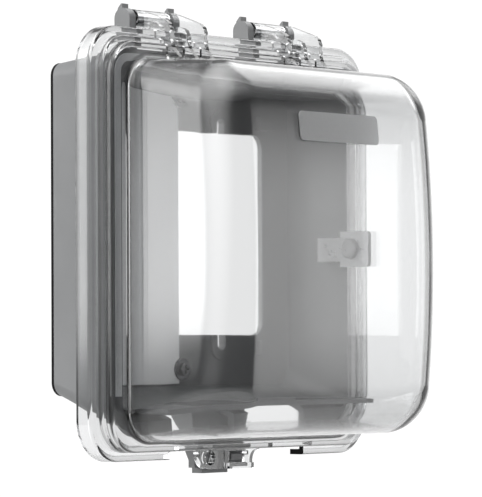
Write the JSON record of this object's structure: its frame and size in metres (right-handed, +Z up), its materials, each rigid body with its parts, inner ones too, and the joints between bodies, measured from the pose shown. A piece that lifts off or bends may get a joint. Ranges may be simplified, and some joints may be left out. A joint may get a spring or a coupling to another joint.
{
  "type": "two-gang while-in-use outlet cover",
  "caption": "Weatherproof while-in-use outlet cover: grey base tray, clear hinged bubble lid, padlock hasp, snap latch, blank insert.",
  "frame": {"origin": "on the wall face, centre of the four device-screw slots", "axes": "+X right seen from the front, -Y out of the wall towards the lid, +Z up"},
  "size_m": [0.1556, 0.0808, 0.1702],
  "materials": {
    "grey_moulding": "fine satin, moulded",
    "blank_grey": "satin, moulded",
    "clear_cover": "clear polycarbonate, glossy",
    "frosted_plaque": "frosted",
    "clear_tab": "translucent",
    "black_foam": "closed-cell foam",
    "pale_seal": "soft, matt",
    "steel_pin": "drawn",
    "dark_screw": "dark plated"
  },
  "bodies": {
    "base": {"wall_gasket": "black_foam", "base_housing": "grey_moulding", "rim_seal": "pale_seal", "blank_insert": "blank_grey", "insert_screws": "dark_screw", "cord_shelf": "grey_moulding", "side_tab": "clear_tab", "tab_rivet": "clear_tab", "hinge_bracket_left": "grey_moulding", "hinge_bracket_right": "grey_moulding", "hinge_pin_left": "steel_pin", "hinge_pin_right": "steel_pin", "base_hasp": "grey_moulding"},
    "cover": {"cover_shell": "clear_cover", "knuckle_left": "clear_cover", "knuckle_right": "clear_cover", "cover_hasp": "clear_cover", "dome_plaque": "frosted_plaque"},
    "latch": {"cover_latch": "clear_cover"}
  },
  "joints": [
    {"name": "cover_hinge", "type": "hinge", "parent": "base", "child": "cover", "pos_m": [0, -0.0165, 0.076], "axis": [-1, 0, 0], "range_deg": [0, 115]},
    {"name": "latch_flex", "type": "hinge", "parent": "cover", "child": "latch", "pos_m": [0.007, -0.0231, -0.0802], "axis": [-1, 0, 0], "range_deg": [0, 10], "stiffness_Nm_per_rad": 0.05}
  ]
}
